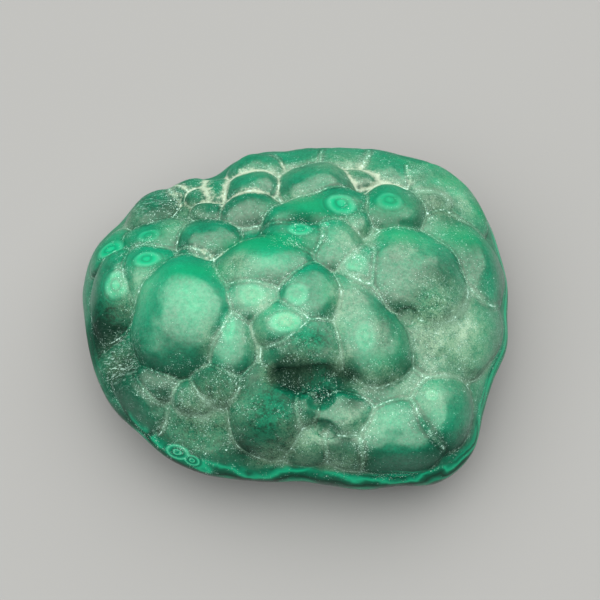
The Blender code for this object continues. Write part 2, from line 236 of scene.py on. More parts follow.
EYES = (
    Eye(-27.7, 1.0, 19.6, 2.3, 2.6, 0.9),
    Eye(-23.1, 4.5, 22.3, 2.6, 1.7, 0.8),
    Eye(-29.3, 8.7, 16.5, 2.9, 1.9, 0.8),
    Eye(-23.0, 9.3, 20.7, 2.3, 1.5, 0.5),
    Eye(7.3, 12.9, 24.6, 2.9, 2.0, 0.9),
    Eye(0.8, 7.8, 25.4, 2.2, 1.5, 0.8),
    Eye(4.7, 9.0, 24.7, 0.8, 0.7, 0.9),
    Eye(14.9, 14.0, 23.7, 2.6, 2.0, 0.6),
    Eye(0.3, -4.1, 27.5, 2.4, 2.0, 0.6),
    Eye(-6.5, -3.6, 26.0, 2.4, 2.2, 0.45),
    Eye(-1.4, -8.5, 26.6, 2.9, 1.9, 0.9),
    Eye(-10.1, -8.3, 24.7, 1.3, 3.0, 0.5),
    Eye(20.9, -17.5, 20.2, 1.2, 1.1, 0.6),
    Eye(9.3, 2.4, 24.8, 2.0, 1.8, 0.4),
    Eye(10.6, -10.1, 25.0, 1.8, 2.8, 0.35),
    Eye(-18.1, -23.7, 11.5, 2.2, 1.5, 1.0),
    Eye(-15.8, -24.9, 11.1, 1.4, 1.1, 1.0),
)

PATCH_ROWS: dict[WearAndLight, tuple[tuple[float, ...], ...]] = {
    WearAndLight.FROST: (
        (-1.2, -8.1, 2.4, 1.7, 0.8), (24.4, -7.4, 8.0, 8.0, 1.1), (24.5, 17.5, 7.0, 8.0, 0.7),
        (9.0, -4.0, 2.5, 7.0, 0.35), (1.5, -23.5, 4.0, 3.0, 0.7), (-16.0, 17.5, 6.0, 4.0, 0.15),
        (8.0, 22.5, 6.0, 4.0, 0.7), (-9.0, 1.5, 3.0, 2.5, 0.6), (8.8, 7.0, 3.0, 3.0, 0.6),
        (-27.4, -9.3, 3.5, 3.5, 0.3), (18.0, 6.0, 6.0, 4.0, 0.35), (-13.0, -19.5, 7.0, 5.0, 0.55),
        (1.4, -12.6, 4.6, 2.4, 0.3), (-4.7, -5.7, 2.0, 4.0, 0.6), (6.4, -5.5, 1.4, 6.5, 0.7),
        (11.4, -15.4, 3.4, 1.4, 0.6), (-17.2, 14.0, 3.0, 2.6, 0.5), (-2.8, 21.3, 4.5, 2.2, 0.6),
        (9.3, -21.4, 3.4, 2.2, 0.6), (-3.0, -25.7, 4.0, 1.8, 0.7), (-13.0, -10.1, 1.4, 3.0, 0.5),
        (-27.1, 14.5, 3.0, 3.0, 0.5), (11.5, 7.7, 2.6, 2.4, 0.7), (29.9, -9.3, 2.4, 5.5, 0.8),
        (-24.5, -1.0, 3.6, 3.4, 0.6), (-5.6, -9.8, 1.8, 3.0, 0.8), (-4.2, -14.8, 1.4, 2.2, 0.6),
        (6.8, -12.8, 2.2, 1.6, 0.8), (16.8, -15.8, 3.0, 2.0, 0.5), (6.2, -26.5, 4.0, 1.8, 0.6),
        (-0.4, 14.6, 3.4, 1.5, 0.6), (-18.6, 11.3, 2.4, 2.0, 0.6), (15.5, 19.0, 3.0, 1.6, 0.6),
        (20.7, -17.3, 2.8, 2.6, 0.5), (-6.4, -3.6, 2.6, 2.2, 0.4), (14.0, -14.5, 3.2, 1.6, 0.6),
        (12.6, -9.0, 1.6, 4.6, 0.4),
    ),
    WearAndLight.SHADE: (
        (-22.5, 15.5, 3.0, 3.0, 0.3), (19.9, -5.4, 4.0, 2.4, 0.6), (-26.5, -10.5, 4.5, 4.5, 0.35),
        (-14.4, -20.8, 6.0, 4.0, 0.35), (-5.0, -20.0, 5.0, 5.0, 0.10), (-0.6, -14.8, 3.8, 2.1, 2.3),
        (7.2, -15.6, 2.4, 1.8, 1.2), (20.8, -3.0, 3.0, 2.2, 0.35), (-30.6, -5.0, 4.0, 3.6, 2.2),
        (-28.0, -2.8, 3.6, 2.4, 1.0), (-12.2, -15.6, 3.2, 2.6, 0.6), (-1.4, -13.2, 3.2, 1.6, 0.4),
        (23.1, 14.2, 4.4, 2.4, 0.6), (13.2, -8.7, 1.3, 4.0, 0.5), (20.1, -8.8, 2.2, 3.0, 0.4),
        (27.7, 5.8, 2.2, 3.6, 0.4), (1.0, 9.9, 2.4, 1.3, 1.0), (-8.7, 1.8, 1.6, 1.6, 0.8),
        (-7.7, -16.5, 2.0, 3.0, 0.4), (-28.8, -6.3, 2.8, 2.6, 0.6), (-21.8, -12.6, 2.4, 2.4, 0.4),
        (19.4, -22.0, 2.0, 2.2, 0.5), (24.6, 13.2, 3.4, 2.2, 0.6), (21.6, 0.6, 3.0, 2.4, 0.8),
        (2.6, -3.2, 1.2, 2.6, 0.4), (4.6, -17.4, 1.6, 1.4, 0.9), (8.5, -18.8, 1.4, 1.2, 0.9),
        (-10.5, -19.5, 7.0, 4.5, 0.25), (-26.8, -11.0, 3.8, 3.8, 1.7), (-17.0, 15.0, 6.0, 3.6, 0.7),
        (20.8, -3.3, 3.4, 2.4, 0.6), (-17.4, -11.0, 4.4, 3.0, 0.35),
    ),
    WearAndLight.CRACKS: (
        (-27.2, -10.2, 3.4, 4.0, 0.5), (-23.4, 16.8, 3.6, 3.2, 0.35),
    ),
    WearAndLight.SPARKLE: (
        (-15.3, -19.4, 7.0, 6.0, 1.4), (24.0, -6.0, 9.0, 12.0, 0.45), (6.0, -15.0, 8.0, 3.0, 0.6),
        (9.0, 4.0, 2.5, 6.0, 0.7), (23.0, 2.0, 5.0, 5.0, 0.5), (-16.0, 17.0, 8.0, 6.0, 0.5),
    ),
    WearAndLight.CREAM: (
        (-10.0, 19.5, 14.0, 8.0, 1.0), (12.0, 20.0, 8.0, 5.0, 1.0), (-12.0, 6.0, 6.0, 5.0, 0.6),
    ),
    # Painted lit crescents: where saturated lit green is laid on the far sides of the lumps.
    WearAndLight.LIT_CRESCENT: (
        (19.6, 25.3, 4.0, 1.8, 0.9), (26.0, 22.0, 3.4, 2.0, 0.9), (30.3, 17.0, 2.0, 3.0, 0.9),
        (-15.2, 0.4, 5.4, 1.9, 1.0), (-22.7, 4.2, 2.8, 1.8, 0.9), (-29.0, 9.0, 3.4, 2.2, 0.9),
        (-4.3, 5.4, 6.0, 1.9, 1.7), (16.9, 8.0, 4.6, 2.1, 1.1), (26.4, 9.6, 4.6, 2.6, 0.9),
        (14.8, 13.6, 3.6, 2.6, 0.8), (3.9, 12.4, 7.0, 2.2, 1.0), (4.9, -3.4, 1.4, 3.0, 0.35),
        (15.6, -11.4, 1.8, 4.4, 0.25), (13.4, -13.2, 3.6, 1.7, 0.3), (-22.0, 9.4, 4.0, 1.8, 0.5),
        (0.8, 7.6, 3.0, 1.6, 0.6),
    ),
    # Painted highlight: where paler mint is laid for the sheen on the lumps.
    WearAndLight.GLOW: (
        (22.0, -20.5, 3.6, 3.0, 0.8), (-23.1, -1.6, 2.8, 3.6, 0.9), (19.2, 22.0, 2.2, 0.9, 1.0),
        (22.9, 20.9, 2.0, 0.9, 1.0), (26.2, 19.0, 1.8, 1.0, 1.0), (29.4, -9.5, 2.4, 5.0, 0.8),
        (24.5, -24.0, 2.6, 2.2, 0.6), (30.8, 2.0, 1.3, 2.6, 0.9), (16.9, 8.0, 4.2, 1.7, 0.9),
        (-15.2, -5.2, 4.2, 4.4, 1.0), (10.5, -10.3, 2.4, 3.4, 0.5), (14.3, -22.0, 4.5, 3.4, 0.8),
        (-1.2, -8.3, 3.4, 2.6, 1.2), (0.4, -4.3, 2.6, 2.2, 0.5), (-6.4, -3.6, 3.2, 2.6, 1.0),
        (-9.7, -8.9, 1.6, 3.6, 0.7), (9.1, 2.1, 2.2, 2.4, 0.6), (-27.6, 0.8, 2.4, 2.6, 0.4),
        (-4.3, 1.8, 5.4, 2.2, 0.9), (20.7, -17.3, 3.0, 3.0, 0.8),
    ),
    WearAndLight.MATTE: (
        (-13.0, -19.5, 10.0, 6.5, 1.0), (-29.0, -5.0, 5.0, 5.5, 1.2), (2.0, -15.0, 7.0, 3.0, 1.0),
        (2.6, -10.8, 4.5, 2.8, 1.1), (-23.0, 16.5, 4.5, 4.5, 0.7), (-4.0, -20.5, 6.5, 7.0, 1.1),
        (-17.0, 17.5, 7.0, 5.0, 0.45), (-26.5, -10.5, 4.5, 4.5, 0.8), (20.8, -3.3, 3.4, 2.6, 0.9),
        (12.0, -14.5, 4.0, 2.0, 0.5),
    ),
}
PATCHES = {patch_kind: [Patch(*row) for row in rows] for patch_kind, rows in PATCH_ROWS.items()}


def smooth_step(low: float, high: float, values: Values) -> Values:
    """Rise smoothly from 0 to 1 between two values."""
    share = np.clip((values - low) / (high - low), 0.0, 1.0)
    return share * share * (3.0 - 2.0 * share)


def unit(vector: Values) -> Values:
    """Scale a vector to length 1."""
    return vector / np.linalg.norm(vector)


def grain(points: Points, cell: float, seed: int) -> Values:
    """Give smooth random values between -1 and 1 that change over a cell size.

    Args:
        points: Places in millimetres, one row each.
        cell: Size of the random cells in millimetres.
        seed: Number that picks the pattern.

    Returns:
        One value for each place.
    """
    scaled = points / cell
    corner = np.floor(scaled).astype(np.int64)
    share = scaled - corner
    share = share * share * (3.0 - 2.0 * share)
    total = np.zeros(len(points))
    for step in itertools.product((0, 1), repeat=3):
        spot = (corner + np.array(step)) * np.array(HASH_PLACE)
        key = spot[:, 0] ^ spot[:, 1] ^ spot[:, 2] ^ seed * HASH_SEED
        key = (key ^ (key >> 13)) * HASH_MIX
        value = ((key ^ (key >> 16)) & HASH_TOP) / (HASH_TOP / 2.0) - 1.0
        total += np.where(step, share, 1.0 - share).prod(axis=1) * value
    return total


@dataclass(frozen=True)
class Seat:
    """A lump's ball in place: its centre, its three directions as rows and its half sizes."""

    centre: Values
    directions: Values
    half_sizes: Values
    boxiness: float

    def distance(self, points: Points) -> Values:
        """Estimate the signed distance to the ball, negative inside it.

        Args:
            points: Places in millimetres, one row each.

        Returns:
            One distance for each place; places far away share one large value.
        """
        out = np.full(len(points), FAR_AWAY)
        offset = points - self.centre
        reach = float(self.half_sizes.max()) + NEAR_MARGIN
        near = np.flatnonzero((np.abs(offset) < reach).all(axis=1))
        shares = np.abs(offset[near] @ self.directions.T) / self.half_sizes
        p = self.boxiness
        across = np.hypot(shares[:, 0], shares[:, 1]) + 1e-6
        level = (across**p + shares[:, 2] ** p) ** (1.0 / p) + 1e-9
        slope_x = across ** (p - 2.0) * shares[:, 0] / self.half_sizes[0]
        slope_y = across ** (p - 2.0) * shares[:, 1] / self.half_sizes[1]
        slope_z = shares[:, 2] ** (p - 1.0) / self.half_sizes[2]
        slope = np.sqrt(slope_x**2 + slope_y**2 + slope_z**2) * level ** (1.0 - p)
        out[near] = (level - 1.0) / (slope + 1e-9)
        return out


@dataclass
class StoneForm:
    """The stone's form as distance fields, in millimetres about the middle of its growth."""

    rim_height: float = 9.0
    crown_rise: float = 15.0
    crown_roundness: float = 0.75
    crown_oversize: float = 1.06
    crown_drop: float = 0.7
    shoulder_radius: float = 3.0
    shoulder_slope: float = 0.36
    undercut_slope: float = 0.72
    undercut_change: float = 0.1
    undercut_round: float = 4.0
    foot_round: float = 1.6
    wall_share: float = 0.85
    sway: float = 0.3
    sway_rate: float = 0.55
    height_sway: float = 0.15
    lump_sink: float = 1.3
    lump_spread: float = 0.5
    hollow_lift: float = 0.3
    boxiness: float = 2.4
    crease: float = 0.3
    melt: float = 0.8
    hollow_melt: float = 0.35
    edge_melt: float = 0.45
    families: list[list[int]] = field(default_factory=list)
    seats: list[Seat] = field(default_factory=list)
    hollow_seats: list[Seat] = field(default_factory=list)

    def __post_init__(self) -> None:
        """Work out the rim's polar table, the lumps' seats and their families."""
        polar = sorted((math.atan2(y, x), math.hypot(x, y)) for x, y in RIM_POINTS)
        turn = 2.0 * math.pi
        before = [(a - turn, r) for a, r in polar[-3:]]
        after = [(a + turn, r) for a, r in polar[:3]]
        self.rim_angles = np.array([a for a, _ in before + polar + after])
        self.rim_reaches = np.array([r for _, r in before + polar + after])
        self.seats = [self.seat(lump, self.lump_sink * lump.rise) for lump in LUMPS]
        self.hollow_seats = [self.seat(item, -self.hollow_lift * item.rise) for item in HOLLOWS]
        names = [lump.family or lump.name for lump in LUMPS]
        for name in dict.fromkeys(names):
            self.families.append([i for i, other in enumerate(names) if other == name])

    def rim_radius(self, angles: Values) -> Values:
        """Give the rim's distance from the middle at each angle.

        Args:
            angles: Directions in the plan, in radians.

        Returns:
            One distance for each angle.
        """
        a, r = self.rim_angles, self.rim_reaches
        i = np.searchsorted(a, angles, side="right") - 1
        span = a[i + 1] - a[i]
        t = (angles - a[i]) / span
        leave = (r[i + 1] - r[i - 1]) / (a[i + 1] - a[i - 1]) * span
        arrive = (r[i + 2] - r[i]) / (a[i + 2] - a[i]) * span
        return (
            (2 * t**3 - 3 * t**2 + 1) * r[i]
            + (t**3 - 2 * t**2 + t) * leave
            + (3 * t**2 - 2 * t**3) * r[i + 1]
            + (t**3 - t**2) * arrive
        )

    def middle(self) -> Values:
        """Give the middle of the rim's extents, which is the part's origin.

        Returns:
            The middle, on the base.
        """
        angles = np.arange(720) * (math.pi / 360.0)
        angles = (angles + math.pi) % (2.0 * math.pi) - math.pi
        reach = self.rim_radius(angles)
        x, y = reach * np.cos(angles), reach * np.sin(angles)
        return np.array([(x.min() + x.max()) / 2.0, (y.min() + y.max()) / 2.0, 0.0])

    def crown_height(self, x: float, y: float) -> float:
        """Give the height of the bare crown over a point of the plan.

        Args:
            x: Place along the stone.
            y: Place across the stone.

        Returns:
            The height over the base, in millimetres.
        """
        reach = self.crown_oversize * float(self.rim_radius(np.array([math.atan2(y, x)]))[0])
        share = min(math.hypot(x, y) / reach, 1.0)
        return self.rim_height + self.crown_rise * (1.0 - share * share) ** self.crown_roundness

    def crown_normal(self, x: float, y: float, reach: float = 0.3) -> Values:
        """Give the crown's outward direction over a point of the plan.

        Args:
            x: Place along the stone.
            y: Place across the stone.
            reach: How far off the slope is measured.

        Returns:
            The direction, of length 1.
        """
        across = self.crown_height(x + reach, y) - self.crown_height(x - reach, y)
        along = self.crown_height(x, y + reach) - self.crown_height(x, y - reach)
        return unit(np.array([-across / (2.0 * reach), -along / (2.0 * reach), 1.0]))

    def seat(self, lump: Lump, sink: float) -> Seat:
        """Seat a lump's ball on the crown.

        Args:
            lump: The lump to seat.
            sink: How far its centre lies under the crown.

        Returns:
            The ball in place.
        """
        up = self.crown_normal(lump.x, lump.y)
        right = np.array([1.0, 0.0, 0.0])
        right = unit(right - (right @ up) * up)
        back = np.cross(up, right)
        lean = math.radians(lump.lean)
        tipped_up = math.cos(lean) * up - math.sin(lean) * back
        tipped_back = math.cos(lean) * back + math.sin(lean) * up
        turn = math.radians(lump.turn)
        first = math.cos(turn) * right + math.sin(turn) * tipped_back
        second = math.cos(turn) * tipped_back - math.sin(turn) * right
        height = lump.rise + abs(sink)
        power = self.boxiness if sink > 0.0 else 2.0
        spread = (1.0 - abs(sink / height) ** power) ** (-1.0 / power)
        foot = np.array([lump.x, lump.y, self.crown_height(lump.x, lump.y)])
        grown = self.lump_spread if sink > 0.0 else 0.0
        across = (lump.half_width + grown) * spread
        along = (lump.half_length + grown) * spread
        return Seat(
            centre=foot - sink * tipped_up,
            directions=np.stack([first, second, tipped_up]),
            half_sizes=np.array([across, along, height]),
            boxiness=power,
        )

    def unswayed(self, points: Points) -> Points:
        """Take the stone's gentle unevenness out of places on it.

        Args:
            points: Places in millimetres, one row each.

        Returns:
            The places on an even stone.
        """
        x, y = points[:, 0], points[:, 1]
        rate = self.sway_rate
        move = np.zeros_like(points)
        move[:, 0] = np.sin(rate * y + 0.7 * np.sin(1.1 * rate * x + 1.3) + 0.9) * self.sway
        move[:, 1] = np.sin(1.07 * rate * x + 0.8 * np.sin(0.9 * rate * y + 0.4) + 2.1) * self.sway
        move[:, 2] = np.sin(0.8 * x + 1.1 * np.sin(0.7 * y)) * self.height_sway
        return points + move

    def crown_distance(self, points: Points) -> Values:
        """Estimate the signed distance to the bare crown.

        Args:
            points: Places in millimetres, one row each.

        Returns:
            One distance for each place, negative inside.
        """
        x, y, z = points.T
        reach = self.crown_oversize * self.rim_radius(np.arctan2(y, x))
        share = np.hypot(x, y) / reach
        lift = np.maximum(z - self.rim_height, 0.0) / self.crown_rise
        power = 1.0 / self.crown_roundness
        level = share**2 + lift**power - 1.0
        slope = np.hypot(2.0 * share / reach, power * lift ** (power - 1.0) / self.crown_rise)
        return level / (slope + 1e-3) + self.crown_drop

    def family_distances(self, points: Points) -> Values:
        """Give each family of melted lumps its distance, one column each.

        Args:
            points: Places in millimetres, one row each.

        Returns:
            One row for each place and one column for each family.
        """
        columns = []
        for members in self.families:
            parts = [self.seats[i].distance(points) for i in members]
            if len(parts) == 1:
                columns.append(parts[0])
            else:
                total = sum(np.exp(-np.clip(part / self.melt, -EXP_LIMIT, EXP_LIMIT)) for part in parts)
                columns.append(-self.melt * np.log(total))
        return np.stack(columns, axis=1)

    def relief(self, points: Points) -> Values:
        """Give the fine unevenness of the grown surface, in millimetres outwards."""
        swell = grain(points, 3.2, 11) * 0.12 + grain(points, 1.4, 12) * 0.055
        return swell + grain(points, 0.75, 13) * 0.025

    def grown(self, points: Points) -> Values:
        """Estimate the signed distance to the grown surface, hollows included.

        Args:
            points: Places in millimetres, one row each.

        Returns:
            One distance for each place, negative inside.
        """
        inner = self.unswayed(points)
        columns = self.family_distances(inner)
        total = np.exp(-np.clip(self.crown_distance(inner) / self.crease, -EXP_LIMIT, EXP_LIMIT))
        total += np.exp(-np.clip(columns / self.crease, -EXP_LIMIT, EXP_LIMIT)).sum(axis=1)
        level = -self.crease * np.log(total + 1e-30)
        for seat in self.hollow_seats:
            melt = self.hollow_melt
            level = melt * np.logaddexp(level / melt, -seat.distance(inner) / melt)
        return level - self.relief(inner)

    def undercut(self, below: Values, angles: Values) -> Values:
        """Give how far the leaning wall stands in, at a depth below the rim.

        Args:
            below: Depths below the rim.
            angles: Directions in the plan, in radians.

        Returns:
            One inset for each depth.
        """
        change = np.sin(2.0 * angles + 0.6) + 0.5 * np.sin(5.0 * angles)
        slope = self.undercut_slope + self.undercut_change * change
        curved = slope * below**2 / (2.0 * self.undercut_round)
        straight = slope * (below - self.undercut_round / 2.0)
        inset = np.where(below < self.undercut_round, curved, straight)
        foot = np.maximum(below - (self.rim_height - self.foot_round), 0.0)
        foot = np.minimum(foot, self.foot_round)
        return inset + self.foot_round - np.sqrt(np.maximum(self.foot_round**2 - foot**2, 0.0))

    def shoulder(self, above: Values) -> Values:
        """Give how far the ground shoulder stands in, at a height above the rim.

        Args:
            above: Heights above the rim.

        Returns:
            One inset for each height.
        """
        start = self.shoulder_slope * self.shoulder_radius
        curved = above**2 / (2.0 * self.shoulder_radius)
        return np.where(above < start, curved, self.shoulder_slope * (above - start / 2.0))

    def ground(self, points: Points) -> Values:
        """Estimate the signed distance to the ground edge and the flat base.

        Args:
            points: Places in millimetres, one row each.

        Returns:
            One distance for each place, negative inside.
        """
        x, y, z = points.T
        angles = np.arctan2(y, x)
        above = np.maximum(z - self.rim_height, 0.0)
        below = np.maximum(self.rim_height - z, 0.0)
        inset = np.where(z > self.rim_height, self.shoulder(above), self.undercut(below, angles))
        side = (np.hypot(x, y) - self.rim_radius(angles) + inset) * self.wall_share
        return np.maximum(side, -z)

    def solid(self, points: Points) -> Values:
        """Estimate the signed distance to the finished stone."""
        melt = self.edge_melt
        return melt * np.logaddexp(self.grown(points) / melt, self.ground(points) / melt)

    def settle(self, points: Points, rounds: int = 4, limit: float = 0.6) -> Points:
        """Move places near the surface onto it.

        Args:
            points: Places in millimetres, one row each.
            rounds: How many times each place is moved.
            limit: The longest move of one round.

        Returns:
            The places after the moves.
        """
        reach = 0.03
        steps = np.eye(3) * reach
        for _ in range(rounds):
            level = self.solid(points)
            slope = np.stack([self.solid(points + step) - level for step in steps], axis=1) / reach
            size = np.maximum((slope**2).sum(axis=1), 0.2)
            move = -(level / size)[:, None] * slope
            length = np.linalg.norm(move, axis=1, keepdims=True)
            points = points + move * np.minimum(1.0, limit / (length + 1e-9))
        return points


def lay_bare() -> None:
    """Deselect everything, so that an operator acts on new work alone."""
    if bpy.context.object is not None and bpy.context.object.mode != "OBJECT":
        bpy.ops.object.mode_set(mode="OBJECT")
    bpy.ops.object.select_all(action="DESELECT")


def take(obj: bpy.types.Object) -> bpy.types.Object:
    """Select one object alone and make it active.

    Args:
        obj: The object to take.

    Returns:
        The same object.
    """
    lay_bare()
    obj.select_set(True)
    bpy.context.view_layer.objects.active = obj
    return obj


def work_in(obj: bpy.types.Object, name: str, kind: str, **settings: object) -> None:
    """Add a modifier to an object and apply it.

    Args:
        obj: The object to work on.
        name: The modifier's name.
        kind: The modifier's type.
        **settings: Its settings by name.
    """
    take(obj)
    modifier = obj.modifiers.new(name, kind)
    for key, value in settings.items():
        setattr(modifier, key, value)
    bpy.ops.object.modifier_apply(modifier=modifier.name)


def read_places(obj: bpy.types.Object) -> Points:
    """Read a mesh's vertices as rows of numbers.

    Args:
        obj: The mesh object.

    Returns:
        One row for each vertex.
    """
    flat = np.empty(len(obj.data.vertices) * 3)
    obj.data.vertices.foreach_get("co", flat)
    return flat.reshape(-1, 3)


def write_places(obj: bpy.types.Object, points: Points) -> None:
    """Move a mesh's vertices to new places."""
    obj.data.vertices.foreach_set("co", points.ravel())
    obj.data.update()


@dataclass
class Stone:
    """The whole stone: its mesh, and what its surface shows, stored on the vertices."""

    form: StoneForm
    voxel: float = 0.34
    segments: int = 160
    rings: int = 96
    ball_detail: int = 4
    wall_rate: float = 1.6
    drop_rate: float = 4.0
    obj: bpy.types.Object | None = None

    def build(self) -> bpy.types.Object:
        """Model the stone and mark its surface.

        Returns:
            The finished object, at the origin in metres.
        """
        parts = [self.add_body()]
        parts += [self.add_lump(seat) for seat in self.form.seats]
        lay_bare()
        for part in parts:
            part.select_set(True)
        bpy.context.view_layer.objects.active = parts[0]
        bpy.ops.object.join()
        self.obj = parts[0]
        self.obj.name = "malachite_stone"
        self.obj.data.name = "malachite_stone"
        work_in(self.obj, "fuse", "REMESH", mode="VOXEL", voxel_size=self.voxel)
        self.carve()
        self.mark()
        self.to_row_frame()
        take(self.obj)
        bpy.ops.object.shade_smooth()
        return self.obj

    def add_body(self) -> bpy.types.Object:
        """Add the crown and the ground wall under it as one pushed-out ball.

        Returns:
            The body, in millimetres.
        """
        lay_bare()
        bpy.ops.mesh.primitive_uv_sphere_add(
            segments=self.segments, ring_count=self.rings, radius=1.0, location=(0.0, 0.0, 0.0)
        )
        body = bpy.context.object
        form = self.form
        x, y, z = read_places(body).T
        angles = np.arctan2(y, x)
        share = np.hypot(x, y)
        rim = form.rim_radius(angles)
        up = np.maximum(z, 0.0) ** (2.0 * form.crown_roundness) * form.crown_rise
        crown = np.stack(
            [
                share * rim * np.cos(angles),
                share * rim * np.sin(angles),
                form.rim_height + up - form.crown_drop * np.minimum(self.drop_rate * up, 1.0),
            ],
            axis=1,
        )
        depth = -z * self.wall_rate
        below = np.clip(depth, 0.0, 1.0) * form.rim_height
        base_share = share / math.sqrt(1.0 - 1.0 / self.wall_rate**2)
        flat = np.where(depth > 1.0, base_share, 1.0)
        reach = (rim - form.undercut(below, angles)) * np.minimum(flat, 1.0)
        wall = np.stack(
            [reach * np.cos(angles), reach * np.sin(angles), form.rim_height - below], axis=1
        )
        write_places(body, np.where((z > 0.0)[:, None], crown, wall))
        return body

    def add_lump(self, seat: Seat) -> bpy.types.Object:
        """Add one lump's ball at its size and place.

        Args:
            seat: The lump's seat on the crown.

        Returns:
            The ball, in millimetres.
        """
        lay_bare()
        turned = Matrix(seat.directions.T.tolist())
        bpy.ops.mesh.primitive_ico_sphere_add(
            subdivisions=self.ball_detail,
            radius=1.0,
            location=tuple(seat.centre),
            rotation=turned.to_euler(),
        )
        ball = bpy.context.object
        places = read_places(ball)
        power = seat.boxiness
        across = np.hypot(places[:, 0], places[:, 1])
        places /= ((across**power + np.abs(places[:, 2]) ** power) ** (1.0 / power))[:, None]
        write_places(ball, places * seat.half_sizes)
        bpy.ops.object.transform_apply(location=True, rotation=True, scale=True)
        return ball

    def carve(self) -> None:
        """Bring the fused mesh onto the stone's surface, evening it out between the moves."""
        for strength in (4, 2):
            write_places(self.obj, self.form.settle(read_places(self.obj)))
            work_in(self.obj, "even", "SMOOTH", factor=0.5, iterations=strength)
        write_places(self.obj, self.form.settle(read_places(self.obj)))

    def mark(self) -> None:
        """Store on the vertices what the surface shows at each place."""
        points = read_places(self.obj)
        normals = np.empty(points.size)
        self.obj.data.vertex_normals.foreach_get("vector", normals)
        marks = SurfaceMarks(self.form, points, normals.reshape(-1, 3))
        for name, values in marks.everything().items():
            layer = self.obj.data.attributes.new(name, "FLOAT", "POINT")
            layer.data.foreach_set("value", values.astype(np.float32))

    def to_row_frame(self) -> None:
        """Move the mesh from its own middle to the part's origin, in metres."""
        write_places(self.obj, (read_places(self.obj) - self.form.middle()) * MM)


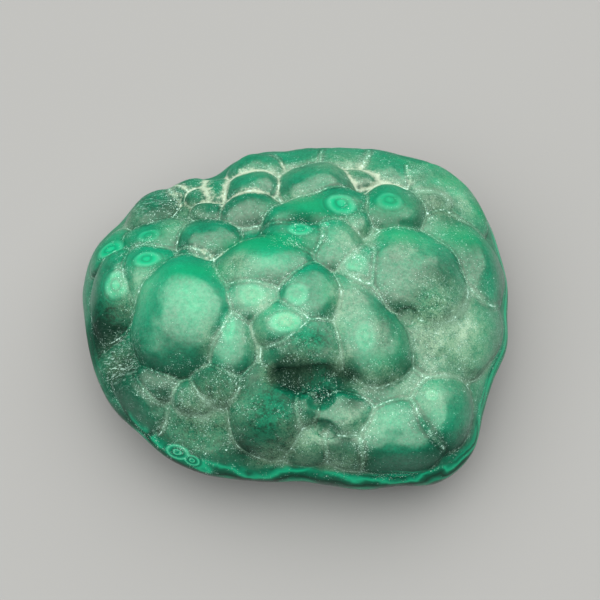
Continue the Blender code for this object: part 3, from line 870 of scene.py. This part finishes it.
@dataclass
class SurfaceMarks:
    """What the surface shows, worked out from the stone's form at the mesh's vertices."""

    form: StoneForm
    points: Points
    normals: Points
    groove_reach: float = 0.5
    foot_reach: float = 2.2
    tone_melt: float = 0.5
    floor_tone: float = -0.1
    ground_top: tuple[float, float] = (11.2, 12.8)
    uncut_side: tuple[float, float] = (-24.0, -29.0)
    uncut_share: float = 0.85
    band_height: float = 10.4
    band_width: float = 1.2
    root_area: float = 26.0
    root_base: tuple[float, float, float] = (0.0, 0.0, 9.0)
    eye_depth: float = 4.0
    patch_edge: float = 1.2

    def __post_init__(self) -> None:
        """Work out the distances that several marks share."""
        self.inner = self.form.unswayed(self.points)
        self.columns = self.form.family_distances(self.inner)
        self.crown = self.form.crown_distance(self.inner)
        every = np.concatenate([self.columns, self.crown[:, None]], axis=1)
        lowest = np.partition(every, 1, axis=1)
        self.gap = lowest[:, 1] - lowest[:, 0]

    def everything(self) -> dict[str, Values]:
        """Work out every mark.

        Returns:
            The marks' values by attribute name.
        """
        marks = {
            "groove": np.exp(-self.gap / self.groove_reach),
            "tone": self.tone(),
            "ground": self.ground_share(),
            "growth": self.growth(),
            "foot": np.exp(-((self.gap / self.foot_reach) ** 2)),
            "rim": self.rim_band(),
            "height": self.points[:, 2],
            # Which way each place faces: the near-facing slopes take painted shade, the far-facing
            # slopes (crest) a little painted light.
            "near_facing": smooth_step(0.15, 0.95, self.normals @ unit(np.array([0.1, -1.0, -0.1]))),
            "crest": smooth_step(0.25, 0.80, self.normals @ unit(np.array([-0.1, 1.0, 0.35]))),
        }
        marks["eye"], marks["eye_power"] = self.eyes()
        for patch_kind in WearAndLight:
            marks[patch_kind.value] = self.patches(patch_kind)
        return marks

    def tone(self) -> Values:
        """Give each lump's own tone, melted together where lumps meet.

        Returns:
            One tone for each vertex.
        """
        first = [[LUMPS[i] for i in members if not LUMPS[i].family] for members in self.form.families]
        tones = np.array([heads[0].tone for heads in first])
        weights = np.exp(-np.clip(self.columns / self.tone_melt, -30.0, 30.0))
        floor = np.exp(-np.clip(self.crown / self.tone_melt, -30.0, 30.0))
        return (weights @ tones + self.floor_tone * floor) / (weights.sum(axis=1) + floor)

    def ground_share(self) -> Values:
        """Give 1 on the ground edge and the base, and 0 on the grown surface.

        Returns:
            One share for each vertex.
        """
        x, _, z = self.points.T
        cut = smooth_step(-0.35, 0.05, self.form.ground(self.points) - self.form.grown(self.points))
        natural = smooth_step(5.0, 9.0, z) * smooth_step(*self.uncut_side, x)
        return cut * (1.0 - smooth_step(*self.ground_top, z)) * (1.0 - natural * self.uncut_share)

    def rim_band(self) -> Values:
        """Give the bright band on the ground edge, which fades on the near side.

        Returns:
            One share for each vertex.
        """
        x, y, z = self.points.T
        band = np.exp(-(((z - self.band_height) / self.band_width) ** 2))
        return band * (0.05 + 0.95 * smooth_step(-17.0, -4.0, y + 0.25 * x))

    def growth(self) -> Values:
        """Give the depth under the grown surface, which the growth bands follow.

        Returns:
            One depth for each vertex. Low on the wall, rings about the large lumps take over.
        """
        depth = -np.minimum(self.columns.min(axis=1), self.crown)
        x, y, z = self.inner.T
        rings = np.full(len(x), 1e9)
        for lump, seat in zip(LUMPS, self.form.seats):
            if lump.half_width * lump.half_length < self.root_area:
                continue
            root = seat.centre + (seat.centre - np.array(self.root_base)) * 0.12
            away = np.hypot(x - root[0] * 0.92, y - root[1] * 0.92)
            rings = np.minimum(rings, np.hypot(away, (z - 2.0) * 0.8))
        low = 1.0 - smooth_step(2.0, 7.5, z)
        return depth * (1.0 - low) + rings * low

    def eyes(self) -> tuple[Values, Values]:
        """Give the distance from the nearest eye and that eye's power.

        Returns:
            The distance in shares of the eye's size, and the power, for each vertex.
        """
        distance = np.full(len(self.points), 9.0)
        power = np.zeros(len(self.points))
        for eye in EYES:
            up = self.form.crown_normal(eye.x, eye.y)
            right = unit(np.array([1.0, 0.0, 0.0]) - up[0] * up)
            directions = np.stack([right, np.cross(up, right), up])
            offset = (self.points - np.array([eye.x, eye.y, eye.z])) @ directions.T
            sizes = np.array([eye.half_width, eye.half_length, self.eye_depth])
            share = np.linalg.norm(offset / sizes, axis=1)
            closer = share < distance
            distance = np.where(closer, share, distance)
            power = np.where(closer, eye.power, power)
        return np.minimum(distance, 3.0), power

    def patches(self, patch_kind: WearAndLight) -> Values:
        """Give one kind of patch its strength at each place.

        Args:
            patch_kind: The kind of patch, real marks and painted light and shade among them.

        Returns:
            One strength for each vertex.
        """
        x, y, _ = self.points.T
        total = np.zeros(len(x))
        for patch in PATCHES[patch_kind]:
            away = ((x - patch.x) / patch.reach_x) ** 2 + ((y - patch.y) / patch.reach_y) ** 2
            total = np.maximum(total, patch.power * np.exp(-away * self.patch_edge))
        return total


@dataclass(frozen=True)
class Signal:
    """A value that travels through the shader, with arithmetic that adds Math nodes."""

    tree: bpy.types.NodeTree
    socket: bpy.types.NodeSocket

    def calc(self, operation: str, *others: Signal | float, clamp: bool = False) -> Signal:
        """Add one Math node that works on this signal and others.

        Args:
            operation: What the node does.
            *others: Its other inputs, in order.
            clamp: Whether the result is kept between 0 and 1.

        Returns:
            The result.
        """
        node = self.tree.nodes.new("ShaderNodeMath")
        node.operation = operation
        node.use_clamp = clamp
        for socket, value in zip(node.inputs, (self, *others)):
            if isinstance(value, Signal):
                self.tree.links.new(value.socket, socket)
            else:
                socket.default_value = value
        return Signal(self.tree, node.outputs[0])

    def __add__(self, other: Signal | float) -> Signal:
        """Add."""
        return self.calc("ADD", other)

    def __radd__(self, other: float) -> Signal:
        """Add to a number."""
        return self.calc("ADD", other)

    def __sub__(self, other: Signal | float) -> Signal:
        """Subtract."""
        return self.calc("SUBTRACT", other)

    def __rsub__(self, other: float) -> Signal:
        """Subtract from a number."""
        return self.calc("MULTIPLY_ADD", -1.0, other)

    def __mul__(self, other: Signal | float) -> Signal:
        """Multiply."""
        return self.calc("MULTIPLY", other)

    def __rmul__(self, other: float) -> Signal:
        """Multiply a number."""
        return self.calc("MULTIPLY", other)

    def __pow__(self, other: float) -> Signal:
        """Raise to a power."""
        return self.calc("POWER", other)

    def step(self, low: float, high: float) -> Signal:
        """Rise smoothly from 0 to 1 between two values, or fall where low is the larger.

        Args:
            low: Where the result is 0.
            high: Where it is 1.

        Returns:
            The result.
        """
        node = self.tree.nodes.new("ShaderNodeMapRange")
        node.interpolation_type = "SMOOTHSTEP"
        rising = low < high
        ends = {
            "From Min": min(low, high),
            "From Max": max(low, high),
            "To Min": 0.0 if rising else 1.0,
            "To Max": 1.0 if rising else 0.0,
        }
        for name, value in ends.items():
            node.inputs[name].default_value = value
        self.tree.links.new(self.socket, node.inputs["Value"])
        return Signal(self.tree, node.outputs["Result"])

    def clamped(self) -> Signal:
        """Keep between 0 and 1."""
        return self.calc("ADD", 0.0, clamp=True)


class ShaderBench:
    """Builds one material's nodes."""

    def __init__(self, name: str) -> None:
        """Start a material with its Principled shader.

        Args:
            name: The material's name.
        """
        self.material = bpy.data.materials.new(name)
        self.material.use_nodes = True
        self.tree = self.material.node_tree
        self.shader = self.tree.nodes["Principled BSDF"]
        self.known: dict[str, Signal] = {}

    def node(
        self,
        kind: str,
        settings: dict[str, object] | None = None,
        sockets: dict[str | int, object] | None = None,
        output: str | int = 0,
    ) -> Signal:
        """Add a node.

        Args:
            kind: The node's type.
            settings: Its settings by name, set before its sockets.
            sockets: Values or signals for its sockets, by name or number.
            output: The output to hand back.

        Returns:
            The chosen output as a signal.
        """
        node = self.tree.nodes.new(kind)
        for key, value in (settings or {}).items():
            if key == "stops":
                self.set_stops(node.color_ramp, value)
            else:
                setattr(node, key, value)
        for key, value in (sockets or {}).items():
            if isinstance(value, Signal):
                self.tree.links.new(value.socket, node.inputs[key])
            else:
                node.inputs[key].default_value = value
        return Signal(self.tree, node.outputs[output])

    @staticmethod
    def set_stops(ramp: bpy.types.ColorRamp, stops: Sequence[tuple[float, Colour]]) -> None:
        """Give a colour ramp its stops.

        Args:
            ramp: The ramp.
            stops: Places from 0 to 1, each with its colour.
        """
        while len(ramp.elements) > 1:
            ramp.elements.remove(ramp.elements[-1])
        ramp.elements[0].position = stops[0][0]
        ramp.elements[0].color = (*stops[0][1], 1.0)
        for position, colour in stops[1:]:
            ramp.elements.new(position).color = (*colour, 1.0)

    def feed(self, name: str, signal: Signal) -> None:
        """Link a signal to one of the Principled shader's sockets."""
        self.tree.links.new(signal.socket, self.shader.inputs[name])

    def mark(self, name: str) -> Signal:
        """Read one of the values stored on the vertices, with one node for each.

        Args:
            name: The attribute's name.

        Returns:
            The value.
        """
        if name not in self.known:
            settings = {"attribute_type": "GEOMETRY", "attribute_name": name}
            self.known[name] = self.node("ShaderNodeAttribute", settings, output="Fac")
        return self.known[name]

    def place(self) -> Signal:
        """Read the place on the object, with one pair of nodes for the whole material.

        Returns:
            The place in millimetres.
        """
        if "place" not in self.known:
            source = self.node("ShaderNodeTexCoord", output="Object")
            self.known["place"] = self.vector("SCALE", source, Scale=1.0 / MM)
        return self.known["place"]

    def vector(self, operation: str, first: Signal, second: object = None, **sockets: float) -> Signal:
        """Add one Vector Math node.

        Args:
            operation: What the node does.
            first: Its first vector.
            second: Its second vector, if it takes one.
            **sockets: Its other sockets by name.

        Returns:
            The result.
        """
        pair = {0: first} if second is None else {0: first, 1: second}
        return self.node("ShaderNodeVectorMath", {"operation": operation}, {**pair, **sockets})

    def stretched(self, turn: float, scale: Colour) -> Signal:
        """Turn and stretch the place, for a pattern that runs one way.

        Args:
            turn: Turn about the upright axis, in degrees.
            scale: Stretch along each axis.

        Returns:
            The place in the stretched frame.
        """
        turned = (0.0, 0.0, math.radians(turn))
        sockets = {"Vector": self.place(), "Rotation": turned, "Scale": scale}
        return self.node("ShaderNodeMapping", sockets=sockets)

    def noise(
        self,
        size: float,
        detail: float = 2.0,
        roughness: float = 0.5,
        warp: float = 0.0,
        place: Signal | None = None,
        output: str = "Fac",
    ) -> Signal:
        """Add cloudy noise, from 0 to 1.

        Args:
            size: About how large its lumps are, in millimetres.
            detail: How many finer layers it has.
            roughness: How strong the finer layers are.
            warp: How much it is drawn out of shape.
            place: Where the surface is, if it isn't the plain place.
            output: "Fac" for a value or "Color" for three.

        Returns:
            The noise.
        """
        sockets = {
            "Vector": self.place() if place is None else place,
            "Scale": 1.0 / size,
            "Detail": detail,
            "Roughness": roughness,
            "Distortion": warp,
        }
        return self.node("ShaderNodeTexNoise", sockets=sockets, output=output)

    def ramp(self, value: Signal, stops: Sequence[tuple[float, Colour]]) -> Signal:
        """Turn a value into a colour."""
        return self.node("ShaderNodeValToRGB", {"stops": stops}, {"Fac": value}, "Color")

    def blend(self, share: Signal, first: Signal | Colour, second: Signal | Colour) -> Signal:
        """Mix two colours.

        Args:
            share: How much of the second colour there is.
            first: The first colour.
            second: The second colour.

        Returns:
            The mixed colour.
        """
        colours = [item if isinstance(item, Signal) else (*item, 1.0) for item in (first, second)]
        sockets = {0: share, 6: colours[0], 7: colours[1]}
        return self.node("ShaderNodeMix", {"data_type": "RGBA"}, sockets, 2)

    def specks(self, place: Signal, size: float, share: Signal, dot: float) -> Signal:
        """Add scattered dots.

        Args:
            place: Where the surface is.
            size: The spacing of the cells that may hold a dot, in millimetres.
            share: The share of cells that hold one.
            dot: The dot's radius as a share of its cell.

        Returns:
            1 on a dot and 0 between dots.
        """
        sockets = {"Vector": place, "Scale": 1.0 / size}
        distance, colour = (
            self.node("ShaderNodeTexVoronoi", {"feature": "F1"}, sockets, output)
            for output in ("Distance", "Color")
        )
        chance, reach = (
            self.node("ShaderNodeSeparateColor", sockets={"Color": colour}, output=channel)
            for channel in ("Red", "Green")
        )
        size_here = (reach * 0.6 + 0.5) * dot
        return (share - chance).step(0.0, 0.02) * (distance - size_here).step(0.06, -0.06)


@dataclass(frozen=True)
class MalachiteFinish:
    """The stone's finish: banded greens, worn eyes, frosted flats and residue in the grooves, with
    painted shade and painted light on the lumps.
    """

    deep: Colour = (0.001, 0.020, 0.013)
    middle: Colour = (0.001, 0.075, 0.045)
    fresh: Colour = (0.002, 0.185, 0.108)
    pale: Colour = (0.006, 0.300, 0.170)
    mint: Colour = (0.050, 0.400, 0.255)
    ring: Colour = (0.004, 0.400, 0.215)
    lit_crescent_green: Colour = (0.001, 0.215, 0.098)
    frost: Colour = (0.150, 0.290, 0.200)
    cream: Colour = (0.360, 0.440, 0.370)
    speck: Colour = (0.520, 0.820, 0.800)
    dust: Colour = (0.150, 0.270, 0.215)
    constants: tuple[tuple[str, float], ...] = (
        ("IOR", 1.7),
        ("Specular IOR Level", 0.04),
        ("Coat IOR", 1.85),
        ("Coat Roughness", 0.31),
    )
    bench: ShaderBench = field(default_factory=lambda: ShaderBench("malachite_stone"))

    def build(self) -> bpy.types.Material:
        """Make the material.

        Returns:
            The material, ready to be put on the stone.
        """
        bench = self.bench
        ground = bench.mark("ground")
        bare = 1.0 - ground
        frost, cream, specks = self.frost_share(), self.cream_share(), self.speck_share()
        colour = bench.blend(ground, self.grown_colour(), self.band_colour())
        colour = self.with_eyes(colour)
        layers = (
            (frost * bare, self.frost),
            (self.dust_share() * bare, self.dust),
            (cream * bare, self.cream),
            (self.scratch_share() * bare, self.speck),
            (specks, self.speck),
        )
        for share, tint in layers:
            colour = bench.blend(share, colour, tint)
        bench.feed("Base Color", colour)
        bench.feed("Roughness", self.roughness(frost, cream, specks))
        bench.feed("Coat Weight", self.polish())
        bench.feed("Normal", self.bump(cream, specks))
        for name, value in self.constants:
            bench.shader.inputs[name].default_value = value
        return bench.material

    def grown_colour(self) -> Signal:
        """Colour the grown surface, before eyes and residue, with painted shade and painted light in
        it.

        Returns:
            The colour.
        """
        mark, noise = self.bench.mark, self.bench.noise
        groove, near_facing = mark("groove"), mark("near_facing")
        mottle = noise(0.36, 4.0, 0.8).step(0.28, 0.72)
        broken = noise(1.1, 5.0, 0.8).step(0.44, 0.62) - 0.35
        depth = noise(3.6, 3.0, 0.55) * 0.30 + noise(1.1, 4.0, 0.65) * 0.30 + mottle * 0.22 + 0.115
        # Painted light: lighter on the far-facing slopes, and paler mint where the highlight patches
        # lie; the tone is each lump's own.
        depth += mark("tone") * 0.30 + mark("highlight") * 0.26 + mark("crest") * 0.08
        depth -= mark("shade") * 0.32 + mark("matte") * broken * 0.40
        # Painted shade: darker on slopes that face the near side, darkest near the feet of the lumps.
        depth -= near_facing * 0.14 + near_facing * mark("foot") * 0.28
        # Painted shade: darker on the flanks of the creases between lumps.
        depth -= groove.step(0.25, 0.50) * groove.step(0.85, 0.60) * 0.16
        stops = [(0.0, self.deep), (0.38, self.middle), (0.72, self.fresh), (1.0, self.pale)]
        # Painted lit crescents: saturated green laid on the far sides of the lumps.
        lit_crescent = mark("lit_crescent").clamped() * 0.6
        return self.bench.blend(lit_crescent, self.bench.ramp(depth, stops), self.lit_crescent_green)

    def band_colour(self) -> Signal:
        """Colour the ground edge and the base with growth bands.

        Returns:
            The colour.
        """
        bench = self.bench
        growth = bench.mark("growth")
        wander = bench.noise(3.0) * 0.9 + bench.noise(9.0, 1.0) * 2.0
        stops = [
            (0.0, self.deep), (0.10, self.middle), (0.20, self.fresh), (0.27, self.fresh),
            (0.33, self.middle), (0.42, self.deep), (0.50, self.middle), (0.60, self.fresh),
            (0.66, self.deep), (0.74, self.fresh), (0.80, self.pale), (0.88, self.middle),
            (1.0, self.deep),
        ]
        coarse = bench.ramp(((growth + wander) * 0.42).calc("FRACT"), stops)
        fine = (growth * 4.2 + wander).calc("SINE") * 0.5 + 0.5
        lined = bench.blend(fine.step(0.35, 0.9) * 0.45, coarse, self.fresh)
        edge = (bench.mark("height") * 5.5 + wander * 2.5).calc("SINE") * 0.5 + 0.5
        stripes = bench.blend(edge.step(0.62, 0.95) * 0.8, self.pale, self.middle)
        return bench.blend(bench.mark("rim") * 0.85, lined, stripes)

    def with_eyes(self, colour: Signal) -> Signal:
        """Lay the rings of the worn eyes over a colour.

        Args:
            colour: The colour under the rings.

        Returns:
            The colour with the rings.
        """
        bench = self.bench
        reach = bench.mark("eye") + (bench.noise(1.6) - 0.5) * 0.22
        worn_stops = [
            (0.0, self.mint), (0.12, self.ring), (0.20, self.fresh), (0.32, self.ring),
            (0.42, self.mint), (0.52, self.fresh), (0.60, self.middle), (0.66, self.fresh),
            (0.75, self.middle),
        ]
        cut_stops = [
            (0.0, self.middle), (0.14, self.fresh), (0.20, self.mint), (0.26, self.middle),
            (0.40, self.fresh), (0.50, self.mint), (0.56, self.fresh), (0.64, self.middle),
            (0.80, self.deep),
        ]
        worn_rings, cut_rings = (bench.ramp(reach * 0.6, stops) for stops in (worn_stops, cut_stops))
        power = bench.mark("eye_power")
        cut = power.step(0.93, 0.99)
        worn = bench.noise(1.9).step(0.25, 0.6) * 0.6 + 0.4
        share = reach.step(1.4, 0.9) * power * (worn * 0.62).calc("MAXIMUM", cut)
        return bench.blend(share, colour, bench.blend(cut, worn_rings, cut_rings))

    def frost_share(self) -> Signal:
        """Give how much fine pale dust lies on the surface.

        Returns:
            The share, from 0 to 1.
        """
        patchy = self.bench.noise(1.4, 5.0, 0.8).step(0.36, 0.64)
        fine = self.bench.noise(0.24, 3.0, 0.8).step(0.40, 0.60)
        return (self.bench.mark("frost") * (patchy * 0.45 + fine * 0.62)).clamped()

    def cream_share(self) -> Signal:
        """Give how much pale residue is left in the grooves.

        Returns:
            The share, from 0 to 1.
        """
        mark = self.bench.mark
        wide = mark("groove") * 0.55 + mark("foot") ** 2.0 * 0.45
        broken = (self.bench.noise(0.9, 3.0, 0.7) - 0.5) * 1.3
        return (wide * (mark("cream") * 1.15 + 0.06) + broken).step(0.42, 0.95) * 0.75

    def speck_share(self) -> Signal:
        """Give the fine bright specks scattered over the surface.

        Returns:
            The share, from 0 to 1.
        """
        bench, mark, noise = self.bench, self.bench.mark, self.bench.noise
        busy = mark("sparkle") * 0.75 + mark("groove") * 0.9 + mark("foot") ** 4.0 * 0.40
        busy = busy + mark("frost") * 0.25 + 0.01
        clumps = noise(2.6, 2.0, 0.6).step(0.45, 0.62) * noise(0.8, 3.0, 0.7).step(0.36, 0.62)
        shake = bench.vector("SUBTRACT", noise(0.28, output="Color"), (0.5, 0.5, 0.5))
        ragged = bench.vector("ADD", bench.place(), bench.vector("SCALE", shake, Scale=0.34))
        large = bench.specks(ragged, 0.80, busy * clumps * 0.5, 0.15) * 0.9
        small = bench.specks(ragged, 0.36, busy * clumps * 1.2, 0.20) * 0.65
        fine = bench.specks(ragged, 0.22, busy * (clumps * 5.0 + 0.2), 0.30) * 0.40
        return large.calc("MAXIMUM", small).calc("MAXIMUM", fine)

    def scratch_share(self) -> Signal:
        """Give the broken pale lines that run along the creases, and the cracks.

        Returns:
            The share, from 0 to 1.
        """
        mark, noise = self.bench.mark, self.bench.noise
        broken = noise(1.1, 3.0, 0.65).step(0.50, 0.62)
        shaken = mark("groove") + (noise(0.3) - 0.5) * 0.35
        lines = shaken.step(0.80, 0.97) * broken * 0.7
        drawn = self.bench.stretched(35.0, (0.5, 4.0, 2.0))
        cracked = noise(1.0, 3.0, 0.7, 0.6, drawn).step(0.54, 0.62) * mark("cracks") * 0.8
        return lines.calc("MAXIMUM", cracked)

    def dust_share(self) -> Signal:
        """Give how much pale dust clings in the grooves and on the rough parts.

        Returns:
            The share, from 0 to 1.
        """
        mark, noise = self.bench.mark, self.bench.noise
        level = mark("groove") * 0.42 + mark("foot") ** 2.0 * 0.16 - mark("shade") * 0.5
        level += mark("sparkle") * 0.16 + mark("frost") * 0.34
        level += (noise(0.42, 4.0, 0.75) - 0.5) * 1.2 + (noise(2.6) - 0.5) * 0.6
        return level.step(0.26, 0.95) * 0.75 * (1.0 - mark("lit_crescent") * 0.7).clamped()

    def polish(self) -> Signal:
        """Give the polish, which reaches the tops of the lumps but not the hollows.

        Returns:
            The share, from 0 to 1.
        """
        mark = self.bench.mark
        reach = 1.0 - mark("groove") * 0.60 - mark("matte") * 0.95 - mark("lit_crescent") * 1.3
        reach = (reach - mark("shade") * 0.8) * (1.0 - mark("near_facing") * mark("foot"))
        reach = reach.clamped() * (1.0 - mark("crest") * 0.9)
        patchy = self.bench.noise(0.7, 5.0, 0.8).step(0.22, 0.70) * 0.65 + 0.35
        return (reach * patchy * (1.0 - mark("ground") * 0.8)).clamped()

    def roughness(self, frost: Signal, cream: Signal, specks: Signal) -> Signal:
        """Give the roughness: satin on the lumps, polished on the ground edge.

        Args:
            frost: How much fine dust there is.
            cream: How much residue there is.
            specks: Where the specks are.

        Returns:
            The roughness.
        """
        ground = self.bench.mark("ground")
        clouds = self.bench.noise(1.8, 4.0, 0.6) * 0.16 + 0.40
        grown = clouds + self.bench.mark("groove") * 0.2 + frost * 0.15 + cream * 0.2
        return (grown * (1.0 - ground) + ground * 0.13 + specks * 0.2).clamped()

    def bump(self, cream: Signal, specks: Signal) -> Signal:
        """Give the fine unevenness that is too small for the mesh.

        Args:
            cream: How much residue there is.
            specks: Where the specks are.

        Returns:
            The surface's direction.
        """
        mark, noise = self.bench.mark, self.bench.noise
        skin = noise(0.5, 5.0, 0.7) * 0.09
        gritty = noise(0.22, 3.0, 0.7) * (mark("groove") * 0.06 + mark("frost") * 0.04 + 0.02)
        height = (skin + gritty + cream * 0.05 + specks * 0.03) * (1.0 - mark("ground") * 0.92)
        sockets = {"Strength": 0.6, "Distance": MM, "Height": height}
        return self.bench.node("ShaderNodeBump", sockets=sockets, output="Normal")


@dataclass
class Studio:
    """The pale floor, the soft light and the camera round the stone."""

    form: StoneForm
    elevation: float = 64.0
    distance: float = 230.0
    pixels_per_mm: float = 6.235
    frame_pixels: float = 600.0
    sensor: float = 36.0
    aim_height: float = 10.0
    centre_pixel: tuple[float, float] = (295.0, 317.0)
    clip_range: tuple[float, float] = (0.01, 10.0)
    floor_size: float = 3.0
    floor_colour: Colour = (0.205, 0.211, 0.242)
    floor_roughness: float = 0.7
    box_place: tuple[float, float, float] = (-0.04, 0.04, 0.55)
    box_size: tuple[float, float] = (2.7, 1.40)
    box_power: float = 30.0
    box_colour: Colour = (1.0, 0.97, 0.82)
    box_aim: tuple[float, float, float] = (0.0, 0.0, 0.01)
    room_colour: Colour = (0.8, 0.9, 1.0)
    room_strength: float = 0.06

    def build(self) -> None:
        """Set up the floor, the light, the world and the camera."""
        self.add_floor()
        self.add_soft_box()
        self.add_world()
        self.add_camera()

    def add_floor(self) -> None:
        """Add the plain floor, which isn't part of the object."""
        lay_bare()
        bpy.ops.mesh.primitive_plane_add(size=self.floor_size, location=(0.0, 0.0, 0.0))
        floor = bpy.context.object
        floor.name = "studio_floor"
        bench = ShaderBench("studio_floor")
        bench.shader.inputs["Base Color"].default_value = (*self.floor_colour, 1.0)
        bench.shader.inputs["Roughness"].default_value = self.floor_roughness
        floor.data.materials.append(bench.material)

    def add_soft_box(self) -> None:
        """Add the broad oval soft box overhead, which faces the stone."""
        lay_bare()
        bpy.ops.object.light_add(type="AREA", location=self.box_place)
        lamp = bpy.context.object
        lamp.name = "overhead_box"
        lamp.data.shape = "ELLIPSE"
        lamp.data.size, lamp.data.size_y = self.box_size
        lamp.data.energy = self.box_power
        lamp.data.color = self.box_colour
        aim = Vector(self.box_aim) - Vector(self.box_place)
        lamp.rotation_euler = aim.to_track_quat("-Z", "Y").to_euler()

    def add_world(self) -> None:
        """Light the room round the stone a little."""
        world = bpy.data.worlds.new("studio")
        world.use_nodes = True
        background = world.node_tree.nodes["Background"]
        background.inputs["Color"].default_value = (*self.room_colour, 1.0)
        background.inputs["Strength"].default_value = self.room_strength
        bpy.context.scene.world = world

    def add_camera(self) -> None:
        """Add the camera, looking down at the stone from the near side."""
        angle = math.radians(self.elevation)
        right = Vector((1.0, 0.0, 0.0))
        up = Vector((0.0, math.sin(angle), math.cos(angle)))
        back = Vector((0.0, -math.cos(angle), math.sin(angle)))
        half = self.frame_pixels / 2.0
        aim = Vector((0.0, 0.0, self.aim_height)) - Vector(self.form.middle())
        aim += right * ((half - self.centre_pixel[0]) / self.pixels_per_mm)
        aim -= up * ((half - self.centre_pixel[1]) / self.pixels_per_mm)
        lay_bare()
        bpy.ops.object.camera_add(location=(aim + back * self.distance) * MM)
        camera = bpy.context.object
        camera.name = "studio_camera"
        camera.rotation_mode = "QUATERNION"
        camera.rotation_quaternion = (-back).to_track_quat("-Z", "Y")
        camera.data.sensor_width = self.sensor
        camera.data.lens = self.sensor * self.pixels_per_mm * self.distance / self.frame_pixels
        camera.data.clip_start, camera.data.clip_end = self.clip_range
        bpy.context.scene.camera = camera


def main() -> None:
    """Build the stone and its studio."""
    form = StoneForm()
    stone = Stone(form).build()
    stone.data.materials.clear()
    stone.data.materials.append(MalachiteFinish().build())
    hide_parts(NODE)
    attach(stone, "root")
    log.info("%s: %d faces", stone.name, len(stone.data.polygons))
    Studio(form).build()
    bpy.context.scene.view_settings.view_transform = "Standard"


if __name__ == "__main__":
    main()
